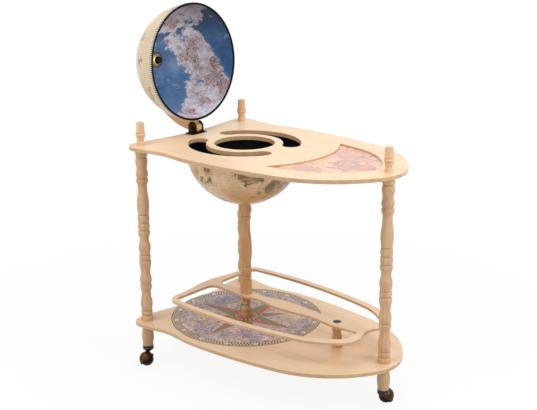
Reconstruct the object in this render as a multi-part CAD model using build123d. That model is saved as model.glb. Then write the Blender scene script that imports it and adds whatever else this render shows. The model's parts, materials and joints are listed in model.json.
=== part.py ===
from build123d import *
import os
from math import asin, cos, degrees, radians, sin, sqrt

os.makedirs("parts", exist_ok=True)

# Globe bar side table: a teardrop table board on three turned legs, with a globe let into its wide
# end, a lower shelf with a compass disc, a bottle gallery between the two and a ball caster under
# each foot. The globe's upper half swings back on a bent arm, and it also turns about its pole.
#
# Lengths in mm, +Z up, front (the narrow end) towards +X. Everything is worked out on the globe's
# upright axis, and export_piece then sets the origin on the floor under the middle of the length.

# ------------------------------------------------------------------ heights
caster_height = 52.0          # floor to the lower end of a foot
foot_length = 65.0
shelf_thickness = 12.0
leg_length = 505.0
board_thickness = 12.0
finial_height = 65.0
gallery_rise = 72.0           # shelf top to gallery top
gallery_thickness = 8.0

foot_end_z = caster_height
shelf_under_z = foot_end_z + foot_length
shelf_top_z = shelf_under_z + shelf_thickness
board_under_z = shelf_top_z + leg_length
board_top_z = board_under_z + board_thickness
gallery_top_z = shelf_top_z + gallery_rise
gallery_under_z = gallery_top_z - gallery_thickness

# ------------------------------------------------------------------ plan of the legs and boards
rear_leg_x = -199.0
rear_leg_y = 206.0
front_leg_x = 486.0
leg_to_edge = 33.0            # leg axis to the board's edge, round each leg

nose_x = front_leg_x + leg_to_edge
nose_radius = 115.0           # the board's outline, from the nose towards the wide end
nose_turn = 26.0
shoulder_radius = 300.0
shoulder_turn = 54.0
side_radius = 1550.0
waist_depth = 12.0            # hollow in the side between the widest point and a rear leg
board_edge_round = 2.5
opening_round = 1.5           # upper edges of the well and the slots

# ------------------------------------------------------------------ openings and recess of the board
well_radius = 84.0
slot_inner_radius = 107.0     # curved glass slots round the well
slot_outer_radius = 157.0
slot_tip_angle = 16.0         # from the long axis to the end of a slot
recess_margin = 66.0          # printed panel: in from the board's edge
recess_inner_radius = 265.0   # printed panel: round the globe
recess_depth = 6.0
panel_thickness = 1.2
panel_clearance = 0.3

# ------------------------------------------------------------------ shelf disc
compass_radius = 217.0
compass_thickness = 1.2
compass_clearance = 0.2

# ------------------------------------------------------------------ gallery outline
gallery_front_x = 446.0       # foremost point of each front corner
gallery_corner_y = 65.0
gallery_front_hollow = 15.0   # how far the front edge is hollowed between its corners
gallery_corner_radius = 50.0
gallery_corner_turn = 45.0
gallery_shoulder_radius = 220.0
gallery_shoulder_turn = 33.0
gallery_side_radius = 1400.0
gallery_rear_x = -142.0
gallery_rear_corner_radius = 42.0
gallery_rear_bow = 15.0
rail_width = 19.0             # the gallery's rail along the sides and the rear
rail_round = 1.5
front_rail_width = 28.0
spine_half_width = 24.0
spine_waist = 13.0
spine_boss_radius = 22.0      # round the column
post_boss_radius = 28.0       # round the front post
spine_flare = 25.0            # where the spine runs into the rear rail
opening_corner = 12.0         # at the front rail
post_x = 330.0

# ------------------------------------------------------------------ globe
globe_radius = 165.0
shell_wall = 3.6
bowl_centre_drop = 7.5        # the bowl's centre below the board's top
bowl_wall = 4.0
lid_gap = 1.0                 # closed lid above the board
rim_height = 3.0
rim_proud = 1.2               # rim ring outside the globe
lining_wall = 1.0
lining_clearance = 0.2
band_height = 6.2
band_wall = 0.75
band_clearance = 0.15

# ------------------------------------------------------------------ lid arm and its hinge
arm_gap = 3.0                 # globe to the arm's inner face
arm_depth = 32.0              # radial
arm_width = 24.0
arm_corner = 5.0
arm_end_radius = 12.0
pin_offset = 24.0             # globe to the hinge pin
pin_rise = 16.0               # pin above the board
lid_open_angle = 94.0
pin_radius = 3.0
bush_wall = 2.0
knuckle_radius = 13.0
bracket_plate = 2.4
bracket_length = 32.0         # along X
bracket_width = 60.0          # along Y
bracket_inset = 4.0           # behind the bracket, to the middle of the hollow rear edge
ear_height = 35.0
ear_clearance = 0.4
ear_plate = 2.4
pin_head_radius = 5.0
pin_head_height = 3.0
bracket_screw_x = 9.0         # screws each side of the pin, along X
bracket_screw_y = 23.0
wood_screw_radius = 1.9
wood_screw_length = 9.0
wood_screw_head = 3.4

# ------------------------------------------------------------------ pole fittings
bolt_radius = 4.0
bolt_head_radius = 10.0
bolt_head_height = 8.0
cup_radius = 23.0
cup_depth = 6.0
cup_edge = 1.5
nut_radius = 10.0
nut_height = 8.0
pole_washer_radius = 12.0

# ------------------------------------------------------------------ fasteners inside
stud_radius = 4.0
stud_reach = 25.0             # each way past the board or shelf that it crosses
stud_clearance = 0.3
rod_radius = 4.0
rod_end = 11.0                # past the bowl's floor and past the shelf
washer_radius = 8.0
washer_thickness = 1.6
hex_nut_flats = 13.0
hex_nut_height = 6.5
post_screw_radius = 3.0
post_screw_head = 7.0
post_screw_head_height = 2.3
plug_radius = 11.5
plug_depth = 3.0
plug_rise = 1.5
plug_clearance = 0.2

# ------------------------------------------------------------------ turned work
bead = 17.0                   # largest radius of the legs' beads and bulges
ring_radius = 16.5            # rings between two grooves
neck = 13.0                   # radius of the legs' necks
shoulder = 15.2               # lips of a groove
groove_depth = 1.7
groove_width = 3.5
leg_foot_radius = 17.4
finial_radius = 10.8
finial_skirt = 12.1           # lower end of the finial's cap
finial_collar = 14.0
finial_neck = 10.0
finial_base = 11.5
column_bulge = 17.4
column_neck = 12.8
column_shoulder = 14.7
column_foot = 17.2
lower_neck = 11.0
lower_ring = 12.8
lower_bulge = 15.2
foot_bulge = 17.3
foot_top_radius = 15.4
foot_end_radius = 14.8
post_radius = 15.0
post_neck = 11.6

# ------------------------------------------------------------------ casters
ball_radius = 21.0
flange_radius = 22.8
flange_width = 3.0
tread_radius = 19.0           # the wheel's dome
tread_drop = 2.0              # its centre below the flange's face
caster_trail = 29.0           # stem axis to ball centre
axle_turn = -90.0             # the axle's heading from the way that the caster trails
hood_tilt = 56.0              # the axle above the horizontal
hood_wall = 1.8
hood_gap = 0.8
hub_radius = 6.0
hub_length = 12.0
axle_radius = 3.0
axle_depth = 13.0             # into the wheel's dome
axle_end = 17.5               # into the hood
stem_radius = 4.0
stem_grip = 24.0              # up into the foot
stem_end_radius = 6.0         # riveted end that keeps the hood on
stem_end_height = 1.5
stem_end_gap = 0.4
socket_radius = 15.6
socket_height = 15.0
socket_floor = 3.0
socket_nose_radius = 11.9     # narrowed lower end, beside the ball
socket_nose_height = 3.0
tenon_radius = 11.7
tenon_clearance = 0.3
horn_thickness = 3.8
horn_gap = 0.4
horn_width = 11.0
horn_boss_radius = 7.5
running_clearance = 0.05

# which way each caster trails, from +X towards +Y
swivel_angles = {"front": 108.0, "rear_left": -54.0, "rear_right": 54.0}

# ------------------------------------------------------------------ derived places
bowl_centre_z = board_top_z - bowl_centre_drop
bowl_bottom_z = bowl_centre_z - globe_radius
bowl_floor_z = bowl_bottom_z + bowl_wall
lid_centre_z = board_top_z + lid_gap
arm_inner = globe_radius + arm_gap
arm_outer = arm_inner + arm_depth
pin_x = -(globe_radius + pin_offset)
rear_edge_x = pin_x - bracket_length / 2 - bracket_inset
pin_z = board_top_z + pin_rise
legs = {
    "front": (front_leg_x, 0.0),
    "rear_left": (rear_leg_x, -rear_leg_y),
    "rear_right": (rear_leg_x, rear_leg_y),
}

# how far the open lid's bolt head reaches back, which sets the overall length
bolt_top = arm_outer + bolt_head_height
lid_tilt = radians(lid_open_angle)
open_centre_x = pin_x - pin_x * cos(lid_tilt) - (lid_centre_z - pin_z) * sin(lid_tilt)
back_x = open_centre_x - bolt_top * sin(lid_tilt)
ball_centre_z = tread_radius + tread_drop * sin(radians(hood_tilt))
origin_x = (nose_x + back_x) / 2


# ------------------------------------------------------------------ helpers
def cylinder(radius, z0, z1, x=0.0, y=0.0):
    """An upright cylinder between two heights."""
    return Pos(x, y, (z0 + z1) / 2) * Cylinder(radius, z1 - z0)


def cross_cylinder(radius, y0, y1, x, z):
    """A cylinder along Y between two places."""
    return Pos(x, (y0 + y1) / 2, z) * Rot(90, 0, 0) * Cylinder(radius, y1 - y0)


def slab(face, z0, z1):
    """A flat face made solid between two heights."""
    return Pos(0, 0, z0) * extrude(face, z1 - z0, dir=(0, 0, 1))


def revolved(edges):
    """Edges of a closed profile in the XZ plane, turned about Z."""
    return revolve(make_face(edges), axis=Axis.Z)


def turned(length, start_radius, members):
    """A turned piece standing on z = 0, worked from its top down.

    Each member is (shape, share, radius): flat keeps one radius, sweep runs smoothly to a new one,
    taper runs straight to it, bead bulges out and back, groove is cut in and back, and round is a
    rounded edge. The shares fill the length.
    """
    total = sum(share for _, share, _ in members)
    radius, z = start_radius, length
    edges = [Line((0, 0, z), (radius, 0, z))]
    for shape, share, new_radius in members:
        low = z - length * share / total
        middle = (z + low) / 2
        if shape == "flat":
            if abs(new_radius - radius) > 1e-6:
                edges.append(Line((radius, 0, z), (new_radius, 0, z)))
            edges.append(Line((new_radius, 0, z), (new_radius, 0, low)))
        elif shape == "sweep":
            ends = ((radius, 0, z), (new_radius, 0, low))
            edges.append(Bezier(ends[0], (radius, 0, middle), (new_radius, 0, middle), ends[1]))
        elif shape == "taper":
            edges.append(Line((radius, 0, z), (new_radius, 0, low)))
        elif shape == "round":
            edges.append(Bezier((radius, 0, z), (new_radius, 0, z), (new_radius, 0, low)))
        elif shape == "groove":
            edges.append(Line((radius, 0, z), (new_radius, 0, middle)))
            edges.append(Line((new_radius, 0, middle), (radius, 0, low)))
            new_radius = radius
        else:
            edges.append(ThreePointArc((radius, 0, z), (new_radius, 0, middle), (radius, 0, low)))
            new_radius = radius
        radius, z = new_radius, low
    edges.append(Line((radius, 0, z), (0, 0, z)))
    edges.append(Line((0, 0, z), (0, 0, length)))
    return revolved(edges)


def globe_shell(outer, inner, low):
    """Half a hollow sphere about the origin, above the height low."""
    top = sqrt(0.5)
    return revolved([
        Line((sqrt(inner**2 - low**2), 0, low), (sqrt(outer**2 - low**2), 0, low)),
        ThreePointArc((sqrt(outer**2 - low**2), 0, low), (outer * top, 0, outer * top), (0, 0, outer)),
        Line((0, 0, outer), (0, 0, inner)),
        ThreePointArc((0, 0, inner), (inner * top, 0, inner * top), (sqrt(inner**2 - low**2), 0, low)),
    ])


def ring(outer, inner, z0, z1):
    """A flat ring about the origin."""
    return cylinder(outer, z0, z1) - cylinder(inner, z0 - 1, z1 + 1)


def both_sides(edges):
    """The face inside a half outline and its mirror image across the long axis."""
    return make_face(edges + [mirror(edge, about=Plane.XZ) for edge in edges])


def export_piece(piece, name):
    """Set the piece against the origin and write it."""
    export_step(Pos(-origin_x, 0, 0) * piece, f"parts/{name}.step")


# ------------------------------------------------------------------ outlines
def board_side(margin=0.0):
    """Tangent arcs of the board's outline, from the nose to the widest point, in by a margin."""
    nose = JernArc((nose_x - margin, 0), (0, 1), nose_radius - margin, nose_turn)
    shoulder = JernArc(nose @ 1, nose % 1, shoulder_radius - margin, shoulder_turn)
    side = JernArc(shoulder @ 1, shoulder % 1, side_radius - margin, 90 - nose_turn - shoulder_turn)
    return [nose, shoulder, side]


def board_outline():
    """Teardrop with a round lobe at each rear leg and a hollow rear edge."""
    front = board_side()
    widest = front[-1] @ 1
    lobe_top = (rear_leg_x, rear_leg_y + leg_to_edge)
    waist = ((widest.X + rear_leg_x) / 2 - 20, widest.Y - waist_depth)
    flank = Spline((widest.X, widest.Y), waist, lobe_top, tangents=[(-1, 0), (-1, 0)])
    lobe = JernArc(lobe_top, (-1, 0), leg_to_edge, 90)
    lobe_x = rear_leg_x - leg_to_edge
    rear = Bezier(
        (lobe_x, rear_leg_y), (lobe_x, rear_leg_y * 0.7), (rear_edge_x, rear_leg_y * 0.6), (rear_edge_x, 0)
    )
    return both_sides(front + [flank, lobe, rear])


def recess_outline(clearance=0.0):
    """Recess of the printed panel: parallel to the nose, and round the globe at its inner end."""
    arcs = board_side(recess_margin + clearance)
    end = arcs[-1] @ 1
    closed = both_sides(arcs + [Line((end.X, end.Y), (end.X, 0))])
    return closed - Circle(recess_inner_radius + clearance)


def gallery_arcs(front_x, rear_x, margin):
    """Tangent arcs of the gallery's outline on one side, from the front corner to the rear one."""
    turn = radians(gallery_corner_turn)
    both = radians(gallery_corner_turn + gallery_shoulder_turn)
    widen = gallery_shoulder_radius - gallery_corner_radius
    flatten = gallery_side_radius - gallery_shoulder_radius
    side_centre_x = front_x - (gallery_corner_radius - margin) - widen * cos(turn) - flatten * cos(both)
    rear_radius = gallery_rear_corner_radius - margin
    lean = asin((side_centre_x - rear_radius - rear_x) / (gallery_side_radius - margin - rear_radius))
    past = degrees(lean)
    corner = JernArc((front_x, gallery_corner_y), (0, 1), gallery_corner_radius - margin, gallery_corner_turn)
    shoulder = JernArc(corner @ 1, corner % 1, gallery_shoulder_radius - margin, gallery_shoulder_turn)
    side_turn = 90 - gallery_corner_turn - gallery_shoulder_turn + past
    side = JernArc(shoulder @ 1, shoulder % 1, gallery_side_radius - margin, side_turn)
    rear = JernArc(side @ 1, side % 1, rear_radius, 90 - past)
    return [corner, shoulder, side, rear]


def gallery_outline():
    """Teardrop with a hollow front edge and a slightly bowed rear edge."""
    arcs = gallery_arcs(gallery_front_x, gallery_rear_x, 0.0)
    middle_x = gallery_front_x - gallery_front_hollow
    half = gallery_corner_y / 2
    front_end = (gallery_front_x, gallery_corner_y)
    front = Bezier((middle_x, 0), (middle_x, half), (gallery_front_x, half), front_end)
    corner = arcs[-1] @ 1
    bow_x = gallery_rear_x - gallery_rear_bow
    rear = Bezier((corner.X, corner.Y), (corner.X, corner.Y * 0.4), (bow_x, corner.Y * 0.4), (bow_x, 0))
    return both_sides([front] + arcs + [rear])


def gallery_spine():
    """Waisted spine along the gallery's middle, swelling round the column and the front post."""
    edge = Spline(
        (gallery_rear_x, spine_waist + 3),
        (-4 * spine_boss_radius, spine_waist),
        (-spine_boss_radius, spine_boss_radius - 2),
        (spine_boss_radius, spine_boss_radius - 2),
        (2 * spine_boss_radius + 4, spine_waist + 2),
        (5 * spine_boss_radius, spine_half_width),
        (post_x - 5 * post_boss_radius, spine_half_width),
        (post_x - 2 * post_boss_radius, spine_waist + 6),
        (post_x, post_boss_radius),
        (post_x + 2 * post_boss_radius, spine_half_width),
        (gallery_front_x, post_boss_radius),
    )
    front = Line(edge @ 1, (gallery_front_x, 0))
    rear = Line(edge @ 0, (gallery_rear_x, 0))
    return both_sides([edge, front, rear])


def gallery_opening():
    """One bottle opening, between the rail and the spine, on the +Y side."""
    front_x = gallery_front_x - front_rail_width
    rear_x = gallery_rear_x + rail_width
    arcs = gallery_arcs(front_x, rear_x, rail_width)
    corner = arcs[-1] @ 1
    closing = Polyline((corner.X, corner.Y), (rear_x, 0), (front_x, 0), (front_x, gallery_corner_y))
    opening = make_face(arcs + [closing]) - gallery_spine()
    front_corner, rear_corner = opening.vertices().sort_by(Axis.Y)[:2].sort_by(Axis.X)[::-1]
    opening = fillet(front_corner, opening_corner)
    rear_corner = opening.vertices().sort_by_distance(rear_corner)[0]
    return fillet(rear_corner, spine_flare)


def glass_slot():
    """Curved slot round the well with round ends, on the +Y side."""
    middle = (slot_inner_radius + slot_outer_radius) / 2
    width = slot_outer_radius - slot_inner_radius
    start = slot_tip_angle + degrees(asin(width / 2 / middle))
    return SlotArc(CenterArc((0, 0), middle, start, 180 - 2 * start), width)


# ------------------------------------------------------------------ boards
def drilled(board, radius, z0, z1, places):
    """Upright holes through a board."""
    for x, y in places:
        board -= cylinder(radius, z0 - 1, z1 + 1, x, y)
    return board


def screw_places():
    return [(pin_x + a * bracket_screw_x, b * bracket_screw_y) for a in (-1, 1) for b in (-1, 1)]


def top_board():
    board = slab(board_outline(), board_under_z, board_top_z)
    board = fillet(board.faces().sort_by(Axis.Z)[-1].edges(), board_edge_round)
    board = fillet(board.faces().sort_by(Axis.Z)[0].edges(), board_edge_round)
    board -= cylinder(well_radius, board_under_z - 1, board_top_z + 1)
    slot = slab(glass_slot(), board_under_z - 1, board_top_z + 1)
    board -= slot
    board -= mirror(slot, about=Plane.XZ)
    top = board.faces().sort_by(Axis.Z)[-1]
    board = fillet([edge for wire in top.inner_wires() for edge in wire.edges()], opening_round)
    board -= slab(recess_outline(), board_top_z - recess_depth, board_top_z + 1)
    board = drilled(board, stud_radius + stud_clearance, board_under_z, board_top_z, legs.values())
    for x, y in screw_places():
        board -= cylinder(wood_screw_radius, board_top_z - wood_screw_length, board_top_z + 1, x, y)
    return board


def map_panel():
    floor = board_top_z - recess_depth
    return slab(recess_outline(panel_clearance), floor, floor + panel_thickness)


def shelf_board():
    shelf = slab(board_outline(), shelf_under_z, shelf_top_z)
    shelf = fillet(shelf.faces().sort_by(Axis.Z)[-1].edges(), board_edge_round)
    shelf = fillet(shelf.faces().sort_by(Axis.Z)[0].edges(), board_edge_round)
    shelf -= cylinder(compass_radius + compass_clearance, shelf_top_z - compass_thickness, shelf_top_z + 1)
    shelf = drilled(shelf, stud_radius + stud_clearance, shelf_under_z, shelf_top_z, legs.values())
    shelf -= cylinder(rod_radius + stud_clearance, shelf_under_z - 1, shelf_top_z + 1)
    shelf -= cylinder(post_screw_radius, shelf_under_z + 3, shelf_top_z + 1, post_x)
    return shelf


def compass_panel():
    return ring(compass_radius, rod_radius + stud_clearance, shelf_top_z - compass_thickness, shelf_top_z)


def gallery_plate():
    plate = slab(gallery_outline(), gallery_under_z, gallery_top_z)
    opening = slab(gallery_opening(), gallery_under_z - 1, gallery_top_z + 1)
    plate -= opening
    plate -= mirror(opening, about=Plane.XZ)
    plate = fillet(plate.faces().sort_by(Axis.Z)[-1].edges(), rail_round)
    plate = fillet(plate.faces().sort_by(Axis.Z)[0].edges(), rail_round)
    plate -= cylinder(rod_radius + stud_clearance, gallery_under_z - 1, gallery_top_z + 1)
    head_z = gallery_top_z - plug_depth - post_screw_head_height - plug_clearance
    plate -= cylinder(plug_radius + plug_clearance, head_z, gallery_top_z + 1, post_x)
    plate -= cylinder(post_screw_radius + stud_clearance, gallery_under_z - 1, gallery_top_z, post_x)
    return plate


# ------------------------------------------------------------------ turned pieces
def leg():
    """Turned spindle with its stud bores, standing on the shelf."""
    cut = ("groove", groove_width, shoulder - groove_depth)
    ring_cut = ("groove", groove_width - 0.5, shoulder - groove_depth)
    members = [
        ("bead", 20, bead), cut,
        ("sweep", 8, bead), ("sweep", 24, neck + 1.5), ("sweep", 16, bead), ("sweep", 8.5, shoulder), cut,
        ("sweep", 4, bead), ("sweep", 18, neck), ("sweep", 57, bead), ("sweep", 23, shoulder), cut,
        ("bead", 19.5, ring_radius), ring_cut, ("bead", 19.5, ring_radius), cut,
        ("sweep", 4, bead), ("sweep", 22, neck), ("sweep", 24, bead), ("sweep", 18.5, shoulder), cut,
        ("bead", 13, ring_radius), ring_cut,
        ("sweep", 4, bead), ("sweep", 32.5, neck + 0.6), ("sweep", 24, bead), ("sweep", 9.5, shoulder),
        ring_cut, ("sweep", 4, ring_radius), ("sweep", 22.5, neck), ("sweep", 32.5, bead),
        ("sweep", 17, shoulder), cut,
        ("bead", 11, ring_radius), ring_cut, ("sweep", 7, leg_foot_radius), ("flat", 9, leg_foot_radius),
    ]
    spindle = turned(leg_length, shoulder, members)
    bore = stud_radius + stud_clearance
    spindle -= cylinder(bore, -1, stud_reach + 2)
    spindle -= cylinder(bore, leg_length - stud_reach - 2, leg_length + 1)
    return spindle


def finial():
    """Turned knob over a leg: a domed cap, a collar and a cup on a flared base."""
    members = [
        ("round", 5, finial_radius), ("taper", 24, finial_skirt), ("groove", 2, finial_skirt - 1),
        ("bead", 8, finial_collar), ("sweep", 10, finial_neck), ("groove", 2, finial_neck - 0.9),
        ("sweep", 8, finial_base), ("flat", 6, finial_base),
    ]
    knob = turned(finial_height, finial_radius - 5, members)
    return knob - cylinder(stud_radius + stud_clearance, -1, stud_reach + 2)


def foot():
    """Short turned foot with a tenon for the caster's socket."""
    members = [
        ("flat", 1, foot_top_radius), ("sweep", 8, foot_top_radius - 0.7), ("sweep", 29, foot_bulge),
        ("sweep", 27, foot_end_radius),
    ]
    tenon = socket_height - socket_floor
    body = turned(foot_length, foot_top_radius, members) + cylinder(tenon_radius, -tenon, 0.5)
    body -= cylinder(stud_radius + stud_clearance, foot_length - stud_reach - 2, foot_length + 1)
    return body - cylinder(stem_radius + stud_clearance, -tenon - 1, stem_grip - tenon + 1)


def column_upper():
    """Turned column from the gallery to the bowl, dished to the bowl at its top."""
    length = bowl_bottom_z - gallery_top_z
    rise = globe_radius - sqrt(globe_radius**2 - column_bulge**2)
    cut = ("groove", groove_width, column_shoulder - groove_depth)
    members = [
        ("flat", 6, column_bulge - 1.9), ("sweep", 17, column_bulge), ("sweep", 15, column_shoulder), cut,
        ("sweep", 3, column_shoulder + 0.8), ("sweep", 11, column_neck), ("sweep", 88, column_bulge),
        ("sweep", 44, column_shoulder), cut, ("bead", 25, column_bulge - 0.7), cut,
        ("bead", 6, column_shoulder + 1.2), ("taper", 1.5, column_neck + 0.6), ("flat", 5, column_neck + 0.6),
        ("round", 3, column_foot), ("flat", 36, column_foot),
    ]
    column = Pos(0, 0, gallery_top_z) * turned(length + rise, column_bulge - 1.9, members)
    column -= Pos(0, 0, bowl_centre_z) * Sphere(globe_radius + lining_clearance)
    return column - cylinder(rod_radius + stud_clearance, gallery_top_z - 1, bowl_bottom_z + 5)


def column_lower():
    """Short turned column from the shelf to the gallery: a cone, a ring and a bulge."""
    members = [
        ("flat", 1.5, column_shoulder), ("taper", 16, lower_neck), ("bead", 9, lower_ring),
        ("flat", 4.5, lower_neck), ("sweep", 8, lower_bulge), ("sweep", 9, lower_bulge - 0.6),
        ("groove", 3, lower_bulge - 2), ("bead", 13, lower_bulge),
    ]
    column = Pos(0, 0, shelf_top_z) * turned(gallery_under_z - shelf_top_z, column_shoulder, members)
    return column - cylinder(rod_radius + stud_clearance, shelf_top_z - 1, gallery_under_z + 1)


def gallery_post():
    """Short turned post under the gallery's front."""
    members = [
        ("flat", 4, post_radius), ("sweep", 20, post_neck), ("sweep", 12, post_radius - 1.6),
        ("sweep", 10, post_neck + 0.8), ("sweep", 12, post_radius), ("flat", 6, post_radius),
    ]
    post = Pos(post_x, 0, shelf_top_z) * turned(gallery_under_z - shelf_top_z, post_radius, members)
    bore = post_screw_radius + stud_clearance
    return post - cylinder(bore, shelf_top_z - 1, gallery_under_z + 1, post_x)


# ------------------------------------------------------------------ fasteners
def studs(low, high):
    """One threaded stud at each leg, drawn as plain bars."""
    return Compound([cylinder(stud_radius, low, high, x, y) for x, y in legs.values()])


def column_rod():
    return cylinder(rod_radius, shelf_under_z - rod_end, bowl_floor_z + rod_end)


def column_nuts():
    """A washer and a hexagon nut at each end of the rod."""
    pieces = []
    seats = ((shelf_under_z, -1), (bowl_floor_z + lining_clearance + 0.1, 1))
    for seat, way in seats:
        ends = sorted((seat, seat + way * washer_thickness))
        pieces.append(cylinder(washer_radius, *ends) - cylinder(rod_radius + 0.2, ends[0] - 1, ends[1] + 1))
        face = seat + way * washer_thickness
        low = min(face, face + way * hex_nut_height)
        hexagon = RegularPolygon(hex_nut_flats / 2, 6, major_radius=False)
        pieces.append(slab(hexagon, low, low + hex_nut_height) - cylinder(rod_radius, low - 1, low + 9))
    return Compound(pieces)


def post_screw():
    head_top = gallery_top_z - plug_depth - plug_clearance
    head = cylinder(post_screw_head, head_top - post_screw_head_height, head_top, post_x)
    return head + cylinder(post_screw_radius, shelf_under_z + 3, head_top - 1, post_x)


def post_plug():
    """Dark plug over the post's screw, with a low dome."""
    dome_radius = (plug_radius**2 + plug_rise**2) / (2 * plug_rise)
    disc = cylinder(plug_radius, gallery_top_z - plug_depth, gallery_top_z + plug_rise, post_x)
    return disc & (Pos(post_x, 0, gallery_top_z + plug_rise - dome_radius) * Sphere(dome_radius))


# ------------------------------------------------------------------ globe
def globe_bowl():
    """Lower half of the globe, hung from the board's underside, with the rod's hole in its floor."""
    half = globe_shell(globe_radius, globe_radius - bowl_wall, bowl_centre_z - board_under_z)
    shell = Pos(0, 0, bowl_centre_z) * Rot(180, 0, 0) * half
    return shell - cylinder(rod_radius + stud_clearance, bowl_bottom_z - 1, bowl_floor_z + 1)


def lid_shell():
    shell = globe_shell(globe_radius, globe_radius - shell_wall, rim_height)
    return shell - cylinder(bolt_radius + running_clearance, 1, globe_radius + 1)


def lid_lining():
    outer = globe_radius - shell_wall - lining_clearance
    lining = globe_shell(outer, outer - lining_wall, rim_height)
    return lining - cylinder(bolt_radius + 1, 1, globe_radius)


def lid_rim():
    inner = globe_radius - shell_wall - lining_clearance - lining_wall
    rim = ring(globe_radius + rim_proud, inner, 0, rim_height)
    return fillet(rim.faces().sort_by(Axis.Z)[0].edges(), 0.8)


def scale_band():
    inner = globe_radius + band_clearance
    return ring(inner + band_wall, inner, rim_height, rim_height + band_height)


def pole_cup():
    """Brass rosette inside the pole, with a raised middle."""
    inner = globe_radius - shell_wall - lining_clearance - lining_wall - lining_clearance
    edge_z = sqrt(inner**2 - cup_radius**2)
    half = cup_radius / 2
    crown = revolved([
        ThreePointArc((0, 0, inner), (half, 0, sqrt(inner**2 - half**2)), (cup_radius, 0, edge_z)),
        Line((cup_radius, 0, edge_z), (cup_radius, 0, edge_z - cup_edge)),
        Bezier(
            (cup_radius, 0, edge_z - cup_edge), (cup_radius - 5, 0, edge_z - cup_edge),
            (nut_radius + 6, 0, edge_z - cup_depth), (nut_radius + 1.5, 0, edge_z - cup_depth),
        ),
        Line((nut_radius + 1.5, 0, edge_z - cup_depth), (0, 0, edge_z - cup_depth)),
        Line((0, 0, edge_z - cup_depth), (0, 0, inner)),
    ])
    return crown - cylinder(bolt_radius + running_clearance, 1, globe_radius)


def cup_face_z():
    """Lower face of the rosette's middle."""
    inner = globe_radius - shell_wall - lining_clearance - lining_wall - lining_clearance
    return sqrt(inner**2 - cup_radius**2) - cup_depth


def pole_nut():
    """Domed nut inside the lid."""
    top = cup_face_z() - lining_clearance
    nut = Pos(0, 0, top - nut_height) * Rot(180, 0, 0) * Pos(0, 0, -nut_height) * turned(
        nut_height, nut_radius - 3.5, [("round", 3.5, nut_radius), ("flat", 4.5, nut_radius)]
    )
    return nut - cylinder(bolt_radius, top - nut_height + 3, top + 1)


def pole_bolt():
    """Bolt through the arm and the lid, with a domed head outside."""
    head = Pos(0, 0, arm_outer) * turned(
        bolt_head_height, 2.0, [("round", bolt_head_height, bolt_head_radius)]
    )
    return head + cylinder(bolt_radius, cup_face_z() - nut_height + 3, arm_outer + 1)


def pole_washer():
    return ring(pole_washer_radius, bolt_radius + 0.1, globe_radius + lining_clearance, arm_inner)


# ------------------------------------------------------------------ lid arm and hinge
def lid_arm():
    """Bent wooden arm from the pole round to the hinge, with a rounded end and a knuckle."""
    middle = (arm_inner + arm_outer) / 2
    section = Plane((0, 0, middle), x_dir=(0, 1, 0), z_dir=(1, 0, 0)) * RectangleRounded(
        arm_width, arm_depth, arm_corner
    )
    reach = lid_centre_z - pin_z
    span = 90 + degrees(asin(reach / sqrt(reach**2 + pin_x**2)))
    bend = revolve(section, axis=Axis((0, 0, 0), (0, -1, 0)), revolution_arc=span)
    end = cylinder(arm_end_radius, arm_inner, arm_outer)
    end &= cross_cylinder(arm_outer, -arm_width, arm_width, 0, 0)
    knuckle = cross_cylinder(knuckle_radius, -arm_width / 2, arm_width / 2, pin_x, pin_z - lid_centre_z)
    arm = bend + end + knuckle
    bush_radius = pin_radius + running_clearance + bush_wall
    arm -= cross_cylinder(bush_radius, -arm_width, arm_width, pin_x, pin_z - lid_centre_z)
    arm -= cylinder(pole_washer_radius + stud_clearance, arm_inner - 5, arm_inner)
    return arm - cylinder(bolt_radius + 0.1, arm_inner - 1, arm_outer + 1)


def arm_bush():
    bore = pin_radius + running_clearance
    outer = cross_cylinder(bore + bush_wall, -arm_width / 2, arm_width / 2, pin_x, pin_z - lid_centre_z)
    return outer - cross_cylinder(bore, -arm_width, arm_width, pin_x, pin_z - lid_centre_z)


def opened(piece):
    """Swing a piece of the closed lid, about the lid's own centre, back on the hinge pin."""
    swing = Pos(pin_x, 0, pin_z) * Rot(0, -lid_open_angle, 0) * Pos(-pin_x, 0, -pin_z)
    return swing * Pos(0, 0, lid_centre_z) * piece


def hinge_bracket():
    """Base plate with two round-topped ears either side of the arm's knuckle."""
    plate = Pos(pin_x, 0, board_top_z + bracket_plate / 2) * Box(bracket_length, bracket_width, bracket_plate)
    half = bracket_length / 2
    arch = Pos(0, ear_height - half) * Circle(half) + Pos(0, (ear_height - half) / 2) * Rectangle(
        bracket_length, ear_height - half
    )
    inner = arm_width / 2 + ear_clearance
    bracket = fillet(plate.edges().filter_by(Axis.Z), 4)
    for y in (-inner - ear_plate, inner):
        ear = extrude(Plane((pin_x, y, board_top_z), x_dir=(-1, 0, 0), z_dir=(0, 1, 0)) * arch, ear_plate)
        bracket += ear
    bracket -= cross_cylinder(pin_radius, -bracket_width, bracket_width, pin_x, pin_z)
    for x, y in screw_places():
        bracket -= cylinder(wood_screw_radius + 0.2, board_top_z - 1, board_top_z + bracket_plate + 1, x, y)
    return bracket


def hinge_pin():
    half = arm_width / 2 + ear_clearance + ear_plate
    pin = cross_cylinder(pin_radius, -half, half, pin_x, pin_z)
    cap = turned(pin_head_height, 1.5, [("round", pin_head_height, pin_head_radius)])
    for way in (-1, 1):
        pin += Pos(pin_x, way * half, pin_z) * Rot(-way * 90, 0, 0) * cap
    return pin


def bracket_screws():
    seat = board_top_z + bracket_plate
    head = turned(1.8, 1.5, [("round", 1.8, wood_screw_head)])
    screws = []
    for x, y in screw_places():
        shank = cylinder(wood_screw_radius, board_top_z - wood_screw_length, seat + 0.5, x, y)
        screws.append(Pos(x, y, seat) * head + shank)
    return Compound(screws)


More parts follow.
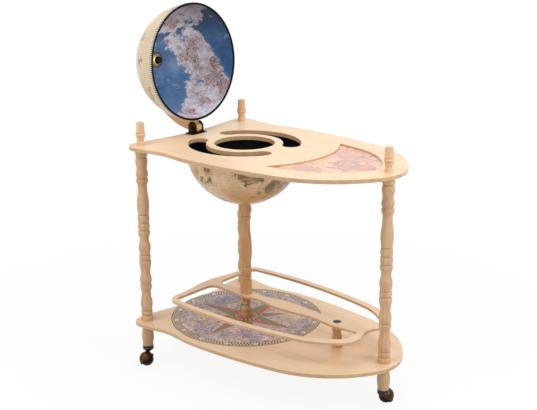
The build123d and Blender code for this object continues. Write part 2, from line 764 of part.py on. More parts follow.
# ------------------------------------------------------------------ casters
def caster_socket():
    """Dark cup on the end of a foot, about the foot's axis, narrowed at its lower end."""
    plain = socket_height - socket_nose_height
    members = [
        ("flat", plain * 0.45, socket_radius), ("groove", plain * 0.15, socket_radius - 0.8),
        ("bead", plain * 0.4, socket_radius + 0.3),
        ("taper", socket_nose_height * 0.3, socket_nose_radius),
        ("flat", socket_nose_height * 0.7, socket_nose_radius),
    ]
    low = foot_end_z - socket_height
    cup = Pos(0, 0, low) * turned(socket_height, socket_radius, members)
    cup -= cylinder(tenon_radius + tenon_clearance, low + socket_floor, foot_end_z + 1)
    return cup - cylinder(stem_radius + running_clearance, low - 1, low + socket_floor + 1)


def caster_stem():
    horn_low = foot_end_z - socket_height - horn_gap - horn_thickness
    end = turned(stem_end_height, stem_end_radius - 1.5, [("round", stem_end_height, stem_end_radius)])
    grip_z = foot_end_z - socket_height + socket_floor + stem_grip
    stem = cylinder(stem_radius, horn_low - stem_end_gap - 0.5, grip_z)
    return stem + Pos(0, 0, horn_low - stem_end_gap - stem_end_height) * end


def on_axle(piece):
    """Turn a piece made along +Z on the origin onto the tilted axle at the ball's centre."""
    place = Pos(caster_trail, 0, ball_centre_z)
    return place * Rot(0, 0, axle_turn) * Rot(0, 90 - hood_tilt, 0) * piece


def caster_hood():
    """Half-round hood with a boss for the axle and a horn to the stem."""
    inner = ball_radius - hood_wall
    shell = globe_shell(ball_radius, inner, hood_gap)
    shell += cylinder(hub_radius, hub_length + 0.3, inner + 0.5)
    shell -= cylinder(axle_radius, -1, axle_end)
    horn_high = foot_end_z - socket_height - horn_gap
    horn_low = horn_high - horn_thickness
    bar = Pos(caster_trail / 2, 0, (horn_low + horn_high) / 2) * Box(caster_trail, horn_width, horn_thickness)
    horn = cylinder(horn_boss_radius, horn_low, horn_high) + bar
    horn -= Pos(caster_trail, 0, ball_centre_z) * Sphere(inner)
    return on_axle(shell) + horn - cylinder(stem_radius + running_clearance, horn_low - 1, horn_high + 1)


def caster_axle():
    return on_axle(cylinder(axle_radius, -axle_depth, axle_end))


def caster_wheel():
    """Domed wheel with a flange, blind-bored for the axle."""
    low = -flange_width
    apex = -tread_drop - tread_radius
    skirt = sqrt(tread_radius**2 - (low + tread_drop) ** 2)
    half = tread_radius * sqrt(0.5)
    wheel = revolved([
        Line((0, 0, 0), (flange_radius, 0, 0)),
        Line((flange_radius, 0, 0), (flange_radius, 0, low)),
        Line((flange_radius, 0, low), (skirt, 0, low)),
        ThreePointArc((skirt, 0, low), (half, 0, -tread_drop - half), (0, 0, apex)),
        Line((0, 0, apex), (0, 0, 0)),
    ])
    wheel += cylinder(hub_radius, -1, hub_length)
    return on_axle(wheel - cylinder(axle_radius + running_clearance, -axle_depth - 0.3, hub_length + 1))


# ------------------------------------------------------------------ write the pieces
def build():
    export_piece(top_board(), "top_board")
    export_piece(map_panel(), "map_panel")
    export_piece(shelf_board(), "shelf_board")
    export_piece(compass_panel(), "compass_panel")
    export_piece(gallery_plate(), "gallery_plate")
    export_piece(globe_bowl(), "globe_bowl")
    export_piece(column_upper(), "column_upper")
    export_piece(column_lower(), "column_lower")
    export_piece(column_rod(), "column_rod")
    export_piece(column_nuts(), "column_nuts")
    export_piece(gallery_post(), "gallery_post")
    export_piece(post_screw(), "post_screw")
    export_piece(post_plug(), "post_plug")
    export_piece(studs(board_under_z - stud_reach, board_top_z + stud_reach), "finial_studs")
    export_piece(studs(shelf_under_z - stud_reach, shelf_top_z + stud_reach), "foot_studs")
    export_piece(hinge_bracket(), "hinge_bracket")
    export_piece(hinge_pin(), "hinge_pin")
    export_piece(bracket_screws(), "bracket_screws")

    lid_pieces = {
        "lid_arm": lid_arm, "arm_bush": arm_bush, "pole_bolt": pole_bolt, "pole_washer": pole_washer,
        "pole_nut": pole_nut, "lid_shell": lid_shell, "lid_lining": lid_lining, "lid_rim": lid_rim,
        "scale_band": scale_band, "pole_cup": pole_cup,
    }
    for name, make in lid_pieces.items():
        export_piece(opened(make()), name)

    spindle, knob, end = leg(), finial(), foot()
    socket, stem, hood = caster_socket(), caster_stem(), caster_hood()
    axle, wheel = caster_axle(), caster_wheel()
    for place, (x, y) in legs.items():
        export_piece(Pos(x, y, shelf_top_z) * spindle, f"leg_{place}")
        export_piece(Pos(x, y, board_top_z) * knob, f"finial_{place}")
        export_piece(Pos(x, y, foot_end_z) * end, f"foot_{place}")
        export_piece(Pos(x, y, 0) * socket, f"caster_socket_{place}")
        turn = Pos(x, y, 0) * Rot(0, 0, swivel_angles[place])
        export_piece(turn * stem, f"caster_stem_{place}")
        export_piece(turn * hood, f"caster_hood_{place}")
        export_piece(turn * axle, f"caster_axle_{place}")
        export_piece(turn * wheel, f"caster_wheel_{place}")


build()
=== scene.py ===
import json
from math import cos, pi, radians, sin, tau

import bmesh
import bpy
from mathutils import Matrix, Vector


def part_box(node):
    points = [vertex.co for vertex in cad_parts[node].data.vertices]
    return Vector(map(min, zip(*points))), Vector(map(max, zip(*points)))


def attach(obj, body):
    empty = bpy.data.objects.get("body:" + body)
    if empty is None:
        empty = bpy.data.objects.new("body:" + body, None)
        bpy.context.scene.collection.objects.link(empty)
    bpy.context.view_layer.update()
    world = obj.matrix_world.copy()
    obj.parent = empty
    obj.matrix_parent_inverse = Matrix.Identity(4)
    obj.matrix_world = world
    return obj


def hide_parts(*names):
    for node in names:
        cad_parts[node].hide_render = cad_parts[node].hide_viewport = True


# A globe bar side table: cream lacquered boards on turned legs, a globe with printed paper on it
# whose upper half swings back, a compass print let into the shelf, and ball casters.

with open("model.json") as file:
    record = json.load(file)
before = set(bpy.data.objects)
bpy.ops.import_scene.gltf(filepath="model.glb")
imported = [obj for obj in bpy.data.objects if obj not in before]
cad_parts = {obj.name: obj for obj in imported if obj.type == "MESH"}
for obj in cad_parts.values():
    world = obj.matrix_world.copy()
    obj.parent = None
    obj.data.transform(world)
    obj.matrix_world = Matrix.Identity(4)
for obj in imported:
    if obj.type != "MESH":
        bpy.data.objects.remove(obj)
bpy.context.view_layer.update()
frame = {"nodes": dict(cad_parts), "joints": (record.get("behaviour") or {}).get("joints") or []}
joints = {joint["name"]: joint for joint in frame["joints"]}

WHITE = (1, 1, 1, 1)
PLACES = ("front", "rear_left", "rear_right")
# Every length is in metres.
GLOBE_RADIUS = 0.165
COMPASS_RADIUS = 0.217
EDGE_DIVISIONS = 180

bowl_low, bowl_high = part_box("globe_bowl")
globe_x = (bowl_low.x + bowl_high.x) / 2
bowl_centre = Vector((globe_x, 0, bowl_low.z + GLOBE_RADIUS))
lid_centre = Vector(joints["lid_turn"]["pos_m"])
lid_tilt = radians(joints["lid_hinge"]["range_deg"][1])
shelf_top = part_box("shelf_board")[1].z


def middle(node):
    """The middle of a CAD piece's box."""
    low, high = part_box(node)
    return (low + high) / 2


# ---------------------------------------------------------------- shader arithmetic
def tone(red, green, blue):
    """A colour given as display values from 0 to 255, in the linear values that shaders take."""
    shares = [value / 255 for value in (red, green, blue)]
    linear = [s / 12.92 if s <= 0.04045 else ((s + 0.055) / 1.055) ** 2.4 for s in shares]
    return (*linear, 1.0)


class Wire:
    """One value on its way through a node tree. Arithmetic on it adds Math nodes."""

    def __init__(self, nodes, socket):
        self.nodes = nodes
        self.socket = socket

    def math(self, operation, *values):
        """The result of a Math node on these values."""
        return self.nodes.add("ShaderNodeMath", {"operation": operation}, dict(enumerate(values)))

    def __add__(self, other):
        return self.math("ADD", self, other)

    def __radd__(self, other):
        return self.math("ADD", other, self)

    def __sub__(self, other):
        return self.math("SUBTRACT", self, other)

    def __rsub__(self, other):
        return self.math("SUBTRACT", other, self)

    def __mul__(self, other):
        return self.math("MULTIPLY", self, other)

    def __rmul__(self, other):
        return self.math("MULTIPLY", other, self)

    def __truediv__(self, other):
        return self.math("DIVIDE", self, other)

    def __pow__(self, other):
        return self.math("POWER", self, other)

    def __abs__(self):
        return self.math("ABSOLUTE", self)

    def __lt__(self, other):
        return self.math("LESS_THAN", self, other)

    def __gt__(self, other):
        return self.math("GREATER_THAN", self, other)


class Nodes:
    """The node tree of a material or of the world."""

    def __init__(self, owner):
        owner.use_nodes = True
        self.tree = owner.node_tree

    def add(self, kind, settings=None, sockets=None, output=0):
        """A node of a kind, with its settings made first and then its sockets' values or links."""
        node = self.tree.nodes.new(kind)
        for setting, value in (settings or {}).items():
            if setting == "stops":
                ramp = node.color_ramp.elements
                while len(ramp) < len(value):
                    ramp.new(0.5)
                for stop, (position, colour) in zip(ramp, value):
                    stop.position = position
                    stop.color = colour
            else:
                setattr(node, setting, value)
        for socket, value in (sockets or {}).items():
            self.join(node.inputs[socket], value)
        return Wire(self, node.outputs[output])

    def join(self, socket, value):
        """Gives a socket a value, or links a wire to it."""
        if isinstance(value, Wire):
            self.tree.links.new(value.socket, socket)
        else:
            socket.default_value = value

    def seen(self):
        """1 for what the camera sees, also in a reflection or through glass, and 0 for light."""
        rays = 0.0
        for kind in ("Is Camera Ray", "Is Glossy Ray", "Is Transmission Ray"):
            ray = self.add("ShaderNodeLightPath", output=kind)
            rays = ray.math("MAXIMUM", ray, rays)
        return rays


class Finish(Nodes):
    """A material and the nodes that vary it over a surface."""

    def __init__(self, name, **sockets):
        self.material = bpy.data.materials.new(name)
        super().__init__(self.material)
        self.shader = self.tree.nodes["Principled BSDF"]
        for socket, value in sockets.items():
            self.set(socket, value)

    def set(self, socket, value):
        """Gives one of the shader's own sockets a value or a wire."""
        self.join(self.shader.inputs[socket.replace("_", " ").title().replace("Ior", "IOR")], value)

    def place(self, centre=(0, 0, 0), turn=(0, 0, 0), size=(1, 1, 1)):
        """Where a point lies from a centre, in axes that are turned and in units of a size."""
        here = self.add("ShaderNodeTexCoord", output="Object")
        sockets = {"Vector": here, "Location": centre, "Rotation": turn, "Scale": size}
        return self.add("ShaderNodeMapping", {"vector_type": "TEXTURE"}, sockets)

    def parts(self, vector):
        """The three parts of a vector."""
        split = self.add("ShaderNodeSeparateXYZ", sockets={0: vector}).socket.node
        return [Wire(self, out) for out in split.outputs]

    def from_axis(self, vector):
        """A point's distance from the Z axis."""
        x, y, _ = self.parts(vector)
        return (x * x + y * y) ** 0.5

    def facing(self):
        """The three parts of the way that the surface faces."""
        return self.parts(self.add("ShaderNodeTexCoord", output="Normal"))

    def noise(self, point, scale, detail=2.0, roughness=0.5, distortion=0.0, output=0):
        """Cloudy noise, from 0 to 1."""
        sockets = {"Vector": point, "Scale": scale, "Detail": detail}
        sockets |= {"Roughness": roughness, "Distortion": distortion}
        return self.add("ShaderNodeTexNoise", sockets=sockets, output=output)

    def cells(self, point, scale, feature="F1", output="Distance"):
        """Distance to the nearest of many scattered points, or a colour for each."""
        sockets = {"Vector": point, "Scale": scale}
        return self.add("ShaderNodeTexVoronoi", {"feature": feature}, sockets, output)

    def rise(self, value, low, high):
        """From 0 at low to 1 at high, smoothly. Low may be the larger of the two."""
        sockets = {"Value": value, "From Min": low, "From Max": high}
        return self.add("ShaderNodeMapRange", {"interpolation_type": "SMOOTHSTEP"}, sockets)

    def near(self, value, middle, width):
        """1 round a middle value, falling to 0 a width away."""
        return 1 - self.rise(abs(value - middle), width * 0.5, width)

    def mix(self, factor, first, second):
        """A colour between two, from the first at 0 to the second at 1."""
        sockets = {0: factor, 6: first, 7: second}
        return self.add("ShaderNodeMix", {"data_type": "RGBA"}, sockets, output=2)

    def wheel(self, x, y):
        """Angle round the origin, in radians."""
        return x.math("ARCTAN2", y, x)

    def spaced(self, value, step):
        """Distance to the nearest of the lines drawn every step."""
        return value.math("PINGPONG", value, step / 2)

    def relief(self, height, depth):
        """Bumps of a depth in metres, where the height goes from 0 to 1."""
        sockets = {"Height": height, "Distance": depth, "Strength": 1.0}
        self.set("normal", self.add("ShaderNodeBump", sockets=sockets))


def on_lid(finish, size=1.0):
    """Where a point lies in the lid's own frame, with the lid's pole along Z."""
    return finish.place(lid_centre, (0, -lid_tilt, 0), (size,) * 3)


# ---------------------------------------------------------------- wood
PALE = tone(243, 212, 177)
CREAM = tone(238, 203, 163)
TAN = tone(222, 184, 137)
BROWN = tone(168, 122, 82)


def lacquered_board(name):
    """Cream satin lacquer over a board: faint grain along its length, flat faces painted lighter as
    painted sheen, and upright edges painted darker and warmer as painted shade.
    """
    finish = Finish(name, coat_weight=0.35, coat_roughness=0.22, specular_ior_level=0.4)
    here = finish.place()
    grain = finish.noise(finish.place(size=(0.35, 0.012, 0.05)), 1.0, 5, 0.62, 0.3)
    pores = finish.noise(finish.place(size=(0.03, 0.0011, 0.02)), 1.0, 2, 0.5)
    cloud = finish.noise(here, 6.0, 2)
    face = finish.mix(finish.rise(grain, 0.35, 0.7), PALE, CREAM)
    face = finish.mix(finish.rise(cloud, 0.4, 0.75) * 0.35, face, CREAM)
    face = finish.mix(finish.rise(pores, 0.62, 0.78) * 0.16, face, TAN)
    # The edge colour is darker and warmer: painted shade for the upright edges.
    edge = finish.mix(finish.rise(grain, 0.3, 0.75), TAN, tone(206, 165, 120))
    edge = finish.mix(finish.rise(finish.noise(here, 900, 2), 0.55, 0.7) * 0.1, edge, BROWN)
    # Painted light: flat faces take the lighter face colour as a painted sheen, and upright edges
    # take the darker edge colour as painted shade.
    flatness_for_painted_sheen = abs(finish.facing()[2])
    finish.set("base color", finish.mix(finish.rise(flatness_for_painted_sheen, 0.25, 0.9), edge, face))
    finish.set("roughness", 0.4 + finish.noise(here, 40, 3) * 0.1)
    finish.relief(pores * 0.6 + grain, 0.00012)
    return finish.material


def turned_wood(name, spindle, light, dark):
    """Satin lacquer over turned wood: grain along the spindle, and painted shade on downward faces
    and in the grooves.
    """
    finish = Finish(name, coat_weight=0.12, coat_roughness=0.3, specular_ior_level=0.28)
    axis = (spindle.x, spindle.y, 0)
    grain = finish.noise(finish.place(axis, size=(0.007, 0.007, 0.13)), 1.0, 5, 0.6, 0.6)
    flecks = finish.noise(finish.place(axis, size=(0.0012, 0.0012, 0.02)), 1.0, 2)
    radius = finish.from_axis(finish.place(axis))
    shade = finish.mix(finish.rise(grain, 0.3, 0.72), light, dark)
    shade = finish.mix(finish.rise(flecks, 0.6, 0.78) * 0.14, shade, BROWN)
    # Painted shade: downward faces, and the upward flanks down in the grooves, are darkened towards
    # brown.
    upward = finish.facing()[2]
    under = finish.rise(upward, -0.3, -0.66) * 0.44
    groove_painted_shade = finish.rise(upward, 0.45, 0.62) * finish.rise(radius, 0.0172, 0.0158) * 0.12
    shade = finish.mix(under + groove_painted_shade, shade, tone(140, 98, 64))
    finish.set("base color", shade)
    finish.set("roughness", 0.44 + grain * 0.14)
    finish.relief(grain + flecks * 0.5, 0.0001)
    return finish.material


def bent_wood(name):
    """The lid's arm: pale lacquered wood, its grain running round the bend."""
    finish = Finish(name, coat_weight=0.35, coat_roughness=0.22, specular_ior_level=0.4)
    x, y, z = finish.parts(finish.place(lid_centre))
    radius = (x * x + z * z) ** 0.5
    around = finish.wheel(x, z)
    sockets = {0: radius * 160, 1: y * 160, 2: around * 1.6}
    point = finish.add("ShaderNodeCombineXYZ", sockets=sockets)
    grain = finish.noise(point, 1.0, 5, 0.6, 0.5)
    layers = finish.near(finish.spaced(radius, 0.004), 0, 0.0008)
    shade = finish.mix(finish.rise(grain, 0.3, 0.7), tone(226, 182, 130), tone(206, 158, 104))
    side = abs(finish.facing()[1])
    shade = finish.mix(layers * finish.rise(side, 0.5, 0.9) * 0.16, shade, BROWN)
    finish.set("base color", shade)
    finish.set("roughness", 0.36 + grain * 0.14)
    finish.relief(grain, 0.00015)
    return finish.material


# ---------------------------------------------------------------- metal, plastic and dark trim
def aged_brass(name, dark, light, roughness, patina, tarnish):
    """Brass with a brown patina that is rubbed off in places."""
    finish = Finish(name, metallic=1.0)
    here = finish.place()
    rubbed = finish.noise(here, 60 + 70 * tarnish, 4, 0.6)
    specks = finish.noise(here, 900, 2, 0.5)
    shade = finish.mix(finish.rise(rubbed, 0.4, 0.68) * patina, dark, light)
    shade = finish.mix(finish.rise(specks, 0.6, 0.8) * 0.3 * tarnish, shade, tone(40, 28, 18))
    finish.set("base color", shade)
    finish.set("roughness", roughness + rubbed * 0.2)
    finish.relief(specks + rubbed, 0.00006)
    return finish.material


def plain_steel(name):
    """Zinc-plated steel with fine turning marks."""
    finish = Finish(name, metallic=1.0)
    marks = finish.noise(finish.place(size=(0.01, 0.01, 0.0006)), 1.0, 3)
    cloud = finish.noise(finish.place(), 60, 3)
    shade = finish.mix(finish.rise(cloud, 0.4, 0.7), tone(190, 188, 182), tone(150, 148, 145))
    finish.set("base color", shade)
    finish.set("roughness", 0.26 + marks * 0.2)
    finish.relief(marks, 0.00004)
    return finish.material


def moulded(name, colour, light, roughness, specular):
    """Moulded plastic with a fine grained skin and a little dust on it."""
    finish = Finish(name, specular_ior_level=specular)
    here = finish.place()
    dust = finish.noise(here, 35, 3, 0.6)
    skin = finish.noise(here, 700, 2)
    finish.set("base color", finish.mix(finish.rise(dust, 0.45, 0.8) * 0.5, colour, light))
    finish.set("roughness", roughness + skin * 0.15)
    finish.relief(skin, 0.00005)
    return finish.material


# ---------------------------------------------------------------- printed paper
def old_map(finish, point, scale, sea, tints, ink, seed, level, border=0.07):
    """A made-up map's colour: a speckled sea, and tinted lands with inked coasts and streams.

    It also gives the point that the map was drawn from, for more ink on the same map.
    """
    offset = (seed, seed * 1.7, seed * 0.6)
    moved = finish.add("ShaderNodeVectorMath", {"operation": "ADD"}, {0: point, 1: offset})
    land = finish.noise(moved, scale, 7, 0.56, 0.15)
    region = finish.noise(moved, scale * 1.5, 1, 0.4, 0.4)
    fibre = finish.noise(moved, scale * 14, 3, 0.7)
    fine = finish.noise(moved, scale * 45, 2, 0.6)
    inland = finish.rise(land, level, level + 0.004)
    tint = finish.add("ShaderNodeValToRGB", {"stops": tints}, {0: region})
    tint.socket.node.color_ramp.interpolation = "CONSTANT"
    water = finish.mix(finish.rise(fibre, 0.35, 0.7) * 0.6, sea[0], sea[1])
    shallows = finish.rise(land, level - border, level)
    water = finish.mix(shallows * 0.35, water, sea[2])
    wash = finish.mix(0.6 + 0.35 * finish.rise(land, level + border, level), sea[0], tint)
    ground = finish.mix(finish.rise(fibre, 0.5, 0.72) * 0.35, wash, ink)
    paper = finish.mix(inland, water, ground)
    coast = finish.near(land, level, 0.006)
    streams = finish.near(finish.noise(moved, scale * 3.4, 4, 0.6, 0.8), 0.5, 0.006) * inland
    hills = finish.rise(fine, 0.62, 0.7) * inland
    paper = finish.mix(hills * 0.4, paper, ink)
    paper = finish.mix(streams * 0.5, paper, ink)
    return finish.mix(coast * 0.75, paper, ink), moved


def globe_grid(finish, point):
    """The ink of meridians and parallels on a globe about its pole."""
    x, y, z = finish.parts(point)
    across = (x * x + y * y) ** 0.5
    around = finish.wheel(x, y)
    up = finish.wheel(across, z)
    step = radians(15)
    meridians = 1 - finish.rise(finish.spaced(around, step) * across, 0.0022, 0.0042)
    parallels = 1 - finish.rise(finish.spaced(up, step), 0.0022, 0.0042)
    return meridians.math("MAXIMUM", meridians, parallels)


def vignettes(finish, point, paper):
    """Small inked marks here and there on a map's open water."""
    spot = finish.cells(point, 2.9)
    lucky, other, _ = finish.parts(finish.cells(point, 2.9, output="Color"))
    stroke = finish.rise(finish.noise(point, 15, 4, 0.7, 0.6), 0.5, 0.56)
    mark = finish.rise(spot, 0.36, 0.24) * stroke * (lucky > 0.25)
    ink = finish.mix(other > 0.6, tone(110, 80, 56), tone(196, 118, 64))
    return finish.mix(mark * 0.85, paper, ink)


LAND_TINTS = [
    (0.0, tone(214, 152, 94)), (0.42, tone(220, 176, 126)), (0.49, tone(142, 146, 96)),
    (0.55, tone(216, 162, 104)), (0.62, tone(116, 136, 96)),
]


def lid_print(name):
    """Outside of the lid: a parchment map, warm and pale, about the lid's pole."""
    finish = Finish(name, coat_weight=0.4, coat_roughness=0.2, specular_ior_level=0.4)
    point = on_lid(finish, GLOBE_RADIUS)
    sea = (tone(228, 208, 176), tone(214, 190, 150), tone(190, 162, 122))
    paper, moved = old_map(finish, point, 1.6, sea, LAND_TINTS, tone(112, 82, 54), 3.1, 0.56)
    paper = finish.mix(globe_grid(finish, point) * 0.2, paper, tone(150, 122, 86))
    stain = finish.noise(moved, 2.2, 3)
    paper = finish.mix(finish.rise(stain, 0.45, 0.75) * 0.4, paper, tone(222, 182, 128))
    finish.set("base color", vignettes(finish, moved, paper))
    finish.set("roughness", 0.42 + finish.noise(point, 30, 2) * 0.1)
    finish.relief(finish.noise(point, 60, 3), 0.00008)
    return finish.material


def bowl_print(name):
    """The lower half: a map like the lid's outside, golden towards its foot, and black inside."""
    finish = Finish(name, coat_roughness=0.2, specular_ior_level=0.08)
    point = finish.place(bowl_centre, size=(GLOBE_RADIUS,) * 3)
    x, y, z = finish.parts(point)
    sea = (tone(250, 219, 181), tone(225, 190, 150), tone(190, 155, 115))
    tints = [
        (0.0, tone(96, 104, 74)), (0.42, tone(206, 156, 100)), (0.48, tone(84, 100, 80)),
        (0.56, tone(212, 168, 100)),
    ]
    paper, moved = old_map(finish, point, 1.7, sea, tints, tone(70, 54, 38), 4.2, 0.545)
    paper = finish.mix(globe_grid(finish, point) * 0.14, paper, tone(140, 110, 76))
    gold = finish.rise(finish.noise(moved, 2.0, 3), 0.42, 0.62) * 0.35
    gold = gold + finish.rise(z, -0.45, -0.95) * 0.5
    paper = finish.mix(gold, paper, tone(208, 156, 84))
    marks = finish.rise(finish.noise(moved, 24, 4, 0.75), 0.55, 0.64)
    paper = finish.mix(marks * 0.5, paper, tone(140, 112, 82))
    paper = vignettes(finish, moved, paper)
    radius = (x * x + y * y + z * z) ** 0.5
    outside = finish.rise(radius, 0.985, 0.992)
    finish.set("base color", finish.mix(outside, tone(13, 13, 17), paper))
    finish.set("coat weight", outside * 0.5)
    finish.set("roughness", 0.45 + finish.noise(point, 30, 2) * 0.12)
    finish.relief(finish.noise(point, 60, 3), 0.00008)
    return finish.material


def night_blue(finish, point, up):
    """The sky's ground: blue canvas, greyer at its foot and darkest at its head."""
    haze = finish.noise(point, 2.4, 4, 0.55)
    blue = finish.mix(finish.rise(haze, 0.3, 0.72), tone(62, 106, 158), tone(104, 146, 194))
    blue = finish.mix(finish.rise(up, -0.5, -0.95) * 0.5, blue, tone(126, 150, 184))
    blue = finish.mix(finish.rise(up, 0.25, 0.9) * 0.9, blue, tone(42, 45, 72))
    canvas = finish.rise(finish.noise(point, 60, 3), 0.45, 0.7)
    return finish.mix(canvas * 0.3, blue, tone(124, 158, 198))


def cloud_white(finish, swirl, heap, puffs, up):
    """The clouds: white heaps with lilac hollows, and rosy shadows drawn with dark threads."""
    lumps = finish.cells(swirl, 13.0, "SMOOTH_F1")
    white = finish.mix(finish.rise(puffs, 0.34, 0.52), tone(190, 180, 204), tone(255, 252, 254))
    white = finish.mix(finish.rise(lumps, 0.42, 0.8) * 0.5, white, tone(206, 190, 212))
    patches = finish.noise(swirl, 2.7, 4, 0.6)
    warm = finish.rise(patches, 0.45, 0.55) * finish.rise(heap, 0.63, 0.69)
    white = finish.mix(warm * 0.55, white, tone(216, 166, 148))
    curls = finish.noise(swirl, 10, 5, 0.68, 1.2)
    threads = finish.near(curls, 0.5, 0.03)
    white = finish.mix(threads * (0.24 + warm * 0.74), white, tone(74, 46, 50))
    shadows = finish.rise(curls, 0.57, 0.64)
    white = finish.mix(shadows * warm * 0.75, white, tone(104, 70, 66))
    glow = finish.rise(finish.noise(swirl, 7.5, 3, 0.6), 0.57, 0.66) * warm
    white = finish.mix(glow * 0.75, white, tone(222, 110, 84))
    grains = finish.rise(finish.noise(swirl, 40, 4, 0.7), 0.57, 0.66)
    white = finish.mix(grains * 0.28, white, tone(120, 104, 122))
    return finish.mix(finish.rise(up, 0.45, 0.98) * 0.6, white, tone(92, 82, 104))


def star_dots(finish, point):
    """Small stars in two sizes, left out of half of the places they could be in."""
    stars = 0.0
    for scale in (15, 32):
        dots = 1 - finish.rise(finish.cells(point, scale), 0.06, 0.12)
        lucky = finish.parts(finish.cells(point, scale, output="Color"))[0]
        stars = dots * (lucky > 0.5) + stars
    return stars.math("MINIMUM", stars, 1.0)


def sky_print(name):
    """Inside of the lid: a night-blue sky with stars and a bank of pale cloud across it."""
    finish = Finish(name, coat_weight=0.3, coat_roughness=0.25, specular_ior_level=0.25)
    point = on_lid(finish, GLOBE_RADIUS)
    up, side, pole = finish.parts(point)
    warp = finish.noise(point, 2.6, 3, 0.55, output="Color")
    sockets = {0: warp, 1: (0.34, 0.34, 0.34), 2: point}
    swirl = finish.add("ShaderNodeVectorMath", {"operation": "MULTIPLY_ADD"}, sockets)
    bend = up.math("SINE", up * 3.0) * 0.22
    banks = finish.near(side * 0.66 - pole * 0.75 + bend, -0.06, 0.5)
    heap = finish.noise(swirl, 2.3, 12, 0.68) + banks * 0.22
    cloud = finish.rise(heap, 0.6, 0.64)
    thin = finish.rise(finish.noise(point, 5.0, 3), 0.4, 0.6)
    veil = finish.rise(heap, 0.56, 0.63) * thin * 0.6
    puffs = finish.noise(swirl, 11.0, 9, 0.74)
    sky = finish.mix(veil, night_blue(finish, point, up), tone(196, 204, 222))
    sky = finish.mix(cloud, sky, cloud_white(finish, swirl, heap, puffs, up))
    stars = star_dots(finish, point) * (1 - cloud)
    finish.set("base color", finish.mix(stars * 0.9, sky, tone(238, 242, 250)))
    finish.set("roughness", 0.45 + puffs * 0.1)
    finish.relief(finish.noise(point, 80, 3), 0.00006)
    return finish.material


def edge_ticks(finish):
    """The ink of the divisions round the lid's edge, and a point's radius and height."""
    x, y, z = finish.parts(on_lid(finish))
    turn = finish.wheel(x, y) * (EDGE_DIVISIONS / tau)
    ticks = finish.rise(turn.math("PINGPONG", turn, 0.5) * 2, 0.46, 0.56)
    return ticks, (x * x + y * y) ** 0.5, z


def scale_print(name):
    """Printed band on the lid's edge: black and white divisions under a fine line."""
    finish = Finish(name, coat_weight=0.4, coat_roughness=0.2)
    ticks, _, z = edge_ticks(finish)
    ink = ticks * (1 - finish.rise(z, 0.0078, 0.0081))
    ink = ink.math("MAXIMUM", ink, finish.near(z, 0.0088, 0.0003))
    worn = finish.noise(finish.place(), 500, 3)
    shade = finish.mix(ink, tone(240, 230, 206), tone(22, 20, 22))
    shade = finish.mix(finish.rise(worn, 0.55, 0.75) * 0.2, shade, tone(150, 134, 104))
    finish.set("base color", shade)
    finish.set("roughness", 0.4 + worn * 0.1)
    finish.relief(worn, 0.00004)
    return finish.material


def rim_print(name):
    """Black moulded rim, with the band's divisions run on round its outer face."""
    finish = Finish(name, specular_ior_level=0.1)
    ticks, across, z = edge_ticks(finish)
    grit = finish.noise(finish.place(), 700, 2)
    outer = finish.rise(across, GLOBE_RADIUS + 0.0007, GLOBE_RADIUS + 0.001)
    side = outer * finish.rise(z, 0.001, 0.0014)
    shade = finish.mix(side * (1 - ticks), tone(13, 12, 17), tone(226, 214, 190))
    finish.set("base color", shade)
    finish.set("roughness", 0.34 + grit * 0.15)
    finish.relief(grit, 0.00005)
    return finish.material


def cup_brass(name):
    """The pole's rosette: brown brass at its edge, a painted highlight ring where it dips towards
    the nut, and darkest right round the nut.
    """
    finish = Finish(name, metallic=1.0)
    across = finish.from_axis(on_lid(finish))
    rubbed = finish.noise(finish.place(), 70, 4, 0.6)
    # Painted highlight: a bright ring on the dip towards the nut. The innermost ring round the nut
    # is darker.
    shade = finish.mix(finish.rise(across, 0.0225, 0.0165), tone(112, 78, 44), tone(206, 176, 124))
    shade = finish.mix(finish.rise(across, 0.0125, 0.0105), shade, tone(52, 36, 24))
    shade = finish.mix(finish.rise(rubbed, 0.4, 0.7) * 0.3, shade, tone(84, 60, 36))
    finish.set("base color", shade)
    finish.set("roughness", 0.24 + rubbed * 0.16)
    finish.relief(rubbed, 0.00005)
    return finish.material


def panel_print(name):
    """Print in the board's recess: rosy paper with grey and mauve lands."""
    finish = Finish(name, coat_weight=0.35, coat_roughness=0.25, specular_ior_level=0.4)
    point = finish.place((globe_x, 0, 0), (0, 0, 0.5))
    sea = (tone(246, 201, 172), tone(240, 187, 160), tone(220, 167, 148))
    tints = [
        (0.0, tone(206, 156, 150)), (0.42, tone(234, 176, 160)), (0.49, tone(166, 150, 160)),
        (0.57, tone(226, 162, 146)),
    ]
    paper, moved = old_map(finish, point, 15.0, sea, tints, tone(140, 106, 116), 5.2, 0.5, 0.05)
    faded = finish.rise(finish.noise(moved, 40, 5, 0.7), 0.46, 0.62)
    paper = finish.mix(faded * 0.35, paper, tone(190, 156, 152))
    x, y, _ = finish.parts(point)
    lines = finish.spaced(x, 0.03)
    lines = 1 - finish.rise(lines.math("MINIMUM", lines, finish.spaced(y, 0.03)), 0.0002, 0.0005)
    paper = finish.mix(lines * 0.12, paper, tone(170, 128, 120))
    rings = finish.near(finish.spaced(finish.from_axis(point), 0.085), 0, 0.0007)
    paper = finish.mix(rings * 0.25, paper, tone(150, 96, 88))
    finish.set("base color", paper)
    finish.set("roughness", 0.45 + finish.noise(point, 60, 2) * 0.1)
    finish.relief(finish.noise(point, 300, 3), 0.00005)
    return finish.material


